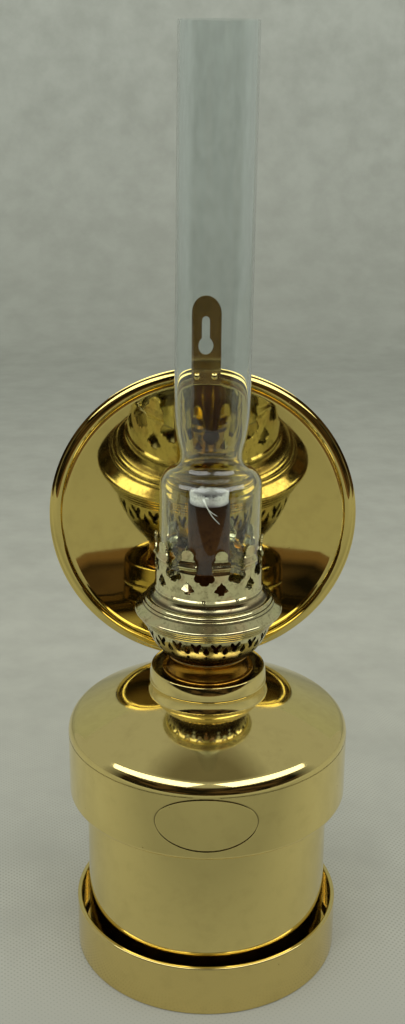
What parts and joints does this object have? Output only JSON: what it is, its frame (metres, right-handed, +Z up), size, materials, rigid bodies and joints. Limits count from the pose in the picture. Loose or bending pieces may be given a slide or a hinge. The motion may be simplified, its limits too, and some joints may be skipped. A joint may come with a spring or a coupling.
{
  "type": "ship lantern",
  "caption": "brass ship's oil lamp: base cup, lift-out font, round-wick burner with pierced basket and prong crown, tall glass chimney, round reflector on a back strap with keyhole tab",
  "frame": {"origin": "centre of the base cup's flat underside, which the lamp stands on", "axes": "+Z up along the lamp's axis, the front faces -Y, the reflector stands behind at +Y"},
  "size_m": [0.158, 0.159, 0.4311],
  "materials": {
    "polished_brass": "polished spun brass sheet",
    "burner_brass": "pale worn brass, fine grained",
    "neck_brass": "golden lacquered brass",
    "oxidised_brass": "heat darkened brass",
    "steel": "drawn steel",
    "cotton": "woven cotton",
    "glass": "clear blown glass"
  },
  "bodies": {
    "holder": {"base_cup": "polished_brass", "back_strap": "polished_brass", "strap_rivets": "polished_brass", "reflector": "polished_brass", "reflector_screw": "polished_brass", "reflector_nut": "steel", "hanging_tab": "polished_brass", "tab_rivets": "polished_brass"},
    "font": {"font_drum": "polished_brass", "font_top": "polished_brass", "font_collar": "polished_brass"},
    "burner_base": {"burner_ring": "neck_brass"},
    "burner": {"burner_neck": "neck_brass", "burner_basket": "burner_brass", "gallery_flange": "burner_brass", "gallery_crown": "burner_brass", "wick_tube": "oxidised_brass", "air_tube": "oxidised_brass", "wheel_bracket": "oxidised_brass", "shaft_sleeve": "oxidised_brass"},
    "winder": {"wick_shaft": "steel", "wick_wheels": "oxidised_brass", "wick_knob": "burner_brass"},
    "wick": {"wick": "cotton"},
    "chimney": {"chimney": "glass"}
  },
  "joints": [
    {"name": "font_lift", "type": "slide", "parent": "holder", "child": "font", "axis": [0, 0, 1], "range_m": [0, 0.05]},
    {"name": "burner_rise", "type": "slide", "parent": "font", "child": "burner_base", "axis": [0, 0, 1], "range_m": [0, 0.0072]},
    {"name": "burner_turn", "type": "hinge", "parent": "burner_base", "child": "burner", "pos_m": [0, 0, 0.15], "axis": [0, 0, 1], "range_deg": [0, 1440]},
    {"name": "knob_turn", "type": "hinge", "parent": "burner", "child": "winder", "pos_m": [0.01322, 0, 0.1611], "axis": [0, 1, 0], "range_deg": [-127, 50]},
    {"name": "wick_raise", "type": "slide", "parent": "burner", "child": "wick", "axis": [0, 0, 1], "range_m": [-0.01, 0.004]},
    {"name": "chimney_lift", "type": "slide", "parent": "burner", "child": "chimney", "axis": [0, 0, 1], "range_m": [0, 0.05]}
  ],
  "couplings": [
    {"joint": "burner_rise", "follows": "burner_turn", "m_per_rad": 0.00028648},
    {"joint": "wick_raise", "follows": "knob_turn", "m_per_rad": 0.0045}
  ]
}
